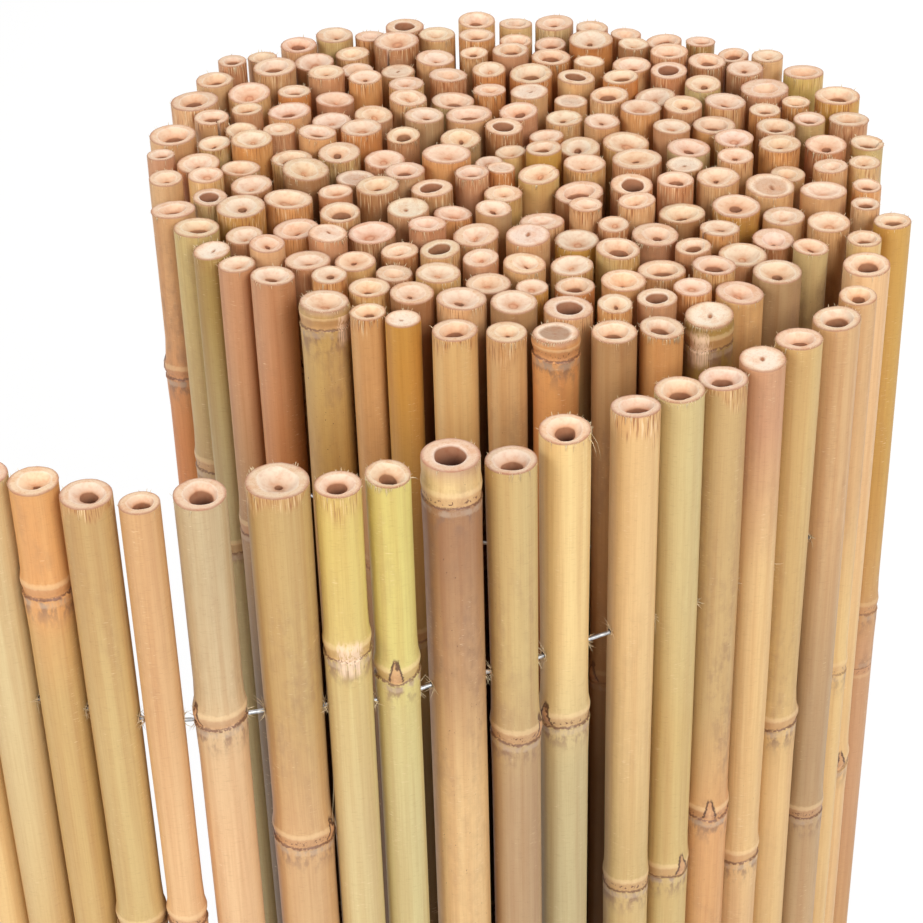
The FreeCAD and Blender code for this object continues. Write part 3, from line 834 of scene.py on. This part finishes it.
# Sawn bamboo is a pale, dry, woody wall with the dots of its fibre bundles. The pith and the bore
# are a soft papery lining, pinkish where light reaches it. The relief follows the noise it names.
cutValues = {
    "sawnBambooEnd": {
        "noises": {"dots": (0.5, 0.5, 2), "cloud": (4.0, 4.0, 3)},
        "marks": [("D2A679", "MULTIPLY", 0.30, ("dots", 0.50, 0.72)),
                  ("EFC3A0", "MULTIPLY", 0.45, ("cloud", 0.42, 0.70))],
        "roughness": 0.85, "relief": "dots", "strength": 0.6, "bump": 0.10},
    "bambooPithLining": {
        "noises": {"cloud": (2.2, 2.2, 3)},
        "marks": [("E0A884", "MULTIPLY", 0.35, ("cloud", 0.40, 0.75))],
        "roughness": 0.9, "relief": "cloud", "strength": 0.5, "bump": 0.2}}


def cutBamboo(name):
    material, tree, shader = newMaterial(name)
    v = cutValues[name]
    s = {name: stretchedNoise(tree, *sizes) for name, sizes in v["noises"].items()}
    paint = addNode(tree, "ShaderNodeVertexColor", layer_name="paint").outputs["Color"]
    tree.links.new(layMarks(tree, s, paint, v["marks"]), shader.inputs["Base Color"])
    shader.inputs["Roughness"].default_value = v["roughness"]
    bump = addNode(tree, "ShaderNodeBump",
                   {"Height": s[v["relief"]], "Strength": v["strength"], "Distance": v["bump"] * mm})
    tree.links.new(bump.outputs[0], shader.inputs["Normal"])
    return material


galvanisedWireValues = {"cloud": (1.5, 1.5, 2), "hue": "A4A6A8", "shiniest": 0.35, "dullest": 0.55,
                        "marks": [("CDCFD0", "MIX", 1.0, ("cloud", 0.35, 0.65))]}


# Hot-dipped zinc on drawn steel wire: grey, slightly clouded, half dull.
def galvanisedWire():
    material, tree, shader = newMaterial("galvanisedWire")
    v = galvanisedWireValues
    s = {"cloud": stretchedNoise(tree, *v["cloud"])}
    colour = layMarks(tree, s, (*linear(v["hue"]), 1), v["marks"])
    tree.links.new(colour, shader.inputs["Base Color"])
    shader.inputs["Metallic"].default_value = 1.0
    dull = addNode(tree, "ShaderNodeMapRange",
                   {"Value": s["cloud"], "To Min": v["shiniest"], "To Max": v["dullest"]})
    tree.links.new(dull.outputs["Result"], shader.inputs["Roughness"])
    return material


# Stage, light and camera

stage = {"floorSize": 14.0, "floorColour": "F4F2EF", "worldLight": 0.40, "glow": 0.92}


# 1 for rays whose hit the viewer sees: straight, mirrored or through glass.
def seenRays(tree):
    path = addNode(tree, "ShaderNodeLightPath").outputs
    seen = addNode(tree, "ShaderNodeMath", {0: path["Is Camera Ray"], 1: path["Is Glossy Ray"]},
                   operation="ADD", use_clamp=True)
    seen = addNode(tree, "ShaderNodeMath", {0: seen.outputs[0], 1: path["Is Transmission Ray"]},
                   operation="ADD", use_clamp=True)
    return seen.outputs[0]


# A pale floor that keeps the shadow, seen almost white, under an even white sky.
def buildStage():
    side = stage["floorSize"] / 2
    mesh = bpy.data.meshes.new("floor")
    corners = [(-side, -side, 0), (side, -side, 0), (side, side, 0), (-side, side, 0)]
    mesh.from_pydata(corners, [], [(0, 1, 2, 3)])
    floor = bpy.data.objects.new("floor", mesh)
    bpy.context.scene.collection.objects.link(floor)
    material, tree, shader = newMaterial("paleFloor")
    shader.inputs["Base Color"].default_value = (*linear(stage["floorColour"]), 1)
    shader.inputs["Roughness"].default_value = 0.9
    glow = addNode(tree, "ShaderNodeEmission", {"Color": (1, 1, 1, 1), "Strength": 1.0})
    share = addNode(tree, "ShaderNodeMath", {0: seenRays(tree), 1: stage["glow"]}, operation="MULTIPLY")
    mixed = addNode(tree, "ShaderNodeMixShader",
                    {0: share.outputs[0], 1: shader.outputs[0], 2: glow.outputs[0]})
    output = next(node for node in tree.nodes if node.type == "OUTPUT_MATERIAL")
    tree.links.new(mixed.outputs[0], output.inputs["Surface"])
    mesh.materials.append(material)

    world = bpy.data.worlds.new("studio")
    bpy.context.scene.world = world
    world.use_nodes = True
    tree = world.node_tree
    tree.nodes.clear()
    soft = addNode(tree, "ShaderNodeBackground", {"Color": (1, 1, 1, 1), "Strength": stage["worldLight"]})
    white = addNode(tree, "ShaderNodeBackground", {"Color": (1, 1, 1, 1), "Strength": 1.0})
    mixed = addNode(tree, "ShaderNodeMixShader",
                    {0: seenRays(tree), 1: soft.outputs[0], 2: white.outputs[0]})
    addNode(tree, "ShaderNodeOutputWorld", {"Surface": mixed.outputs[0]})


# Places and sizes in metres, powers in watts.
lamps = {
    "keyLamp": {"place": (1.0, -2.1, 2.5), "size": 1.3, "power": 56},
    "fillLamp": {"place": (-2.2, -1.5, 2.2), "size": 1.8, "power": 40},
    "backLamp": {"place": (0.3, 2.2, 2.8), "size": 2.4, "power": 20},
    "rearLamp": {"place": (0.8, 2.7, 1.3), "size": 2.0, "power": 44}}


# Large soft boxes: the main one in front to the right, and a low one that shows the far side. All
# are turned to a point in the upper part of the roll.
def buildLamps():
    target = np.array([0, 0, 0.85])
    for name, lamp in lamps.items():
        data = bpy.data.lights.new(name, "AREA")
        data.energy = lamp["power"]
        data.size = lamp["size"]
        light = bpy.data.objects.new(name, data)
        light.location = lamp["place"]
        away = np.array(lamp["place"]) - target
        tilt = math.atan2(math.hypot(away[0], away[1]), away[2])
        light.rotation_euler = (0, tilt, math.atan2(away[1], away[0]))
        bpy.context.scene.collection.objects.link(light)


# Metres and degrees, then the lens and the sensor's width in millimetres.
view = {"place": (0.01205, -0.72107, 1.38745), "pitchDown": 34.0, "roll": 1.57, "lens": 94.71,
        "sensor": 36.0}


# The photograph's view: above the front edge, looking down over the tops.
def buildCamera():
    data = bpy.data.cameras.new("camera")
    data.lens = view["lens"]
    data.sensor_width = view["sensor"]
    data.clip_start = 0.05
    camera = bpy.data.objects.new("camera", data)
    pitch = math.radians(view["pitchDown"])
    roll = math.radians(view["roll"])
    forward = np.array([0, math.cos(pitch), -math.sin(pitch)])
    level = np.array([1.0, 0, 0])
    down = np.array([0, -math.sin(pitch), -math.cos(pitch)])
    right = math.cos(roll) * level + math.sin(roll) * down
    lower = -math.sin(roll) * level + math.cos(roll) * down
    turn = Matrix((right, -lower, -forward)).transposed()
    camera.matrix_world = Matrix.Translation(view["place"]) @ turn.to_4x4()
    bpy.context.scene.collection.objects.link(camera)
    bpy.context.scene.camera = camera


# Building it all

# The ways the wire leaves a culm, and the heights of its holes, just above the wires' middles.
def holesOf(culms, culm):
    number = culm["number"]
    ways = []
    for other in (number - 1, number + 1):
        if 0 <= other < len(culms):
            ways.append(math.atan2(culms[other]["y"] - culm["y"], culms[other]["x"] - culm["x"]))
    if len(ways) == 1:
        ways.append(ways[0] + math.pi)
    heights = []
    for name in sorted(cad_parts):
        if name.startswith("wire_"):
            low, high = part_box(name)
            heights.append((low.z + high.z) / 2 / mm + drilledHole["rise"])
    return [(way, height) for way in ways for height in heights]


def dressCulms():
    materials = [bambooSkin(), cutBamboo("sawnBambooEnd"), cutBamboo("bambooPithLining")]
    culms = readCulms()
    print("culms read:", len(culms))
    for culm in culms:
        chooseLook(culm)
    triangles = 0
    for node in sorted({culm["node"] for culm in culms}):
        group = [culm for culm in culms if culm["node"] == node]
        bundle = Bundle()
        for culm in group:
            addCulm(bundle, culm, holesOf(culms, culm) if len(group) == 1 else [])
        piece = bundle.object("dressed_" + node, materials)
        added = sum((size - 2).sum() for size in bundle.sizes)
        triangles += added
        if len(group) > 1:
            print(node, "triangles:", added)
        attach(piece, "root")
        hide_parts(node)
    print("culms dressed, triangles:", triangles)


def dressWires():
    wire = galvanisedWire()
    for name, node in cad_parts.items():
        if name.startswith("wire_"):
            node.material_slots[0].link = "OBJECT"
            node.material_slots[0].material = wire
    print("wires dressed")


buildStage()
buildLamps()
buildCamera()
print("stage, lamps and camera ready")
dressCulms()
dressWires()

bpy.context.scene.view_settings.view_transform = "Standard"
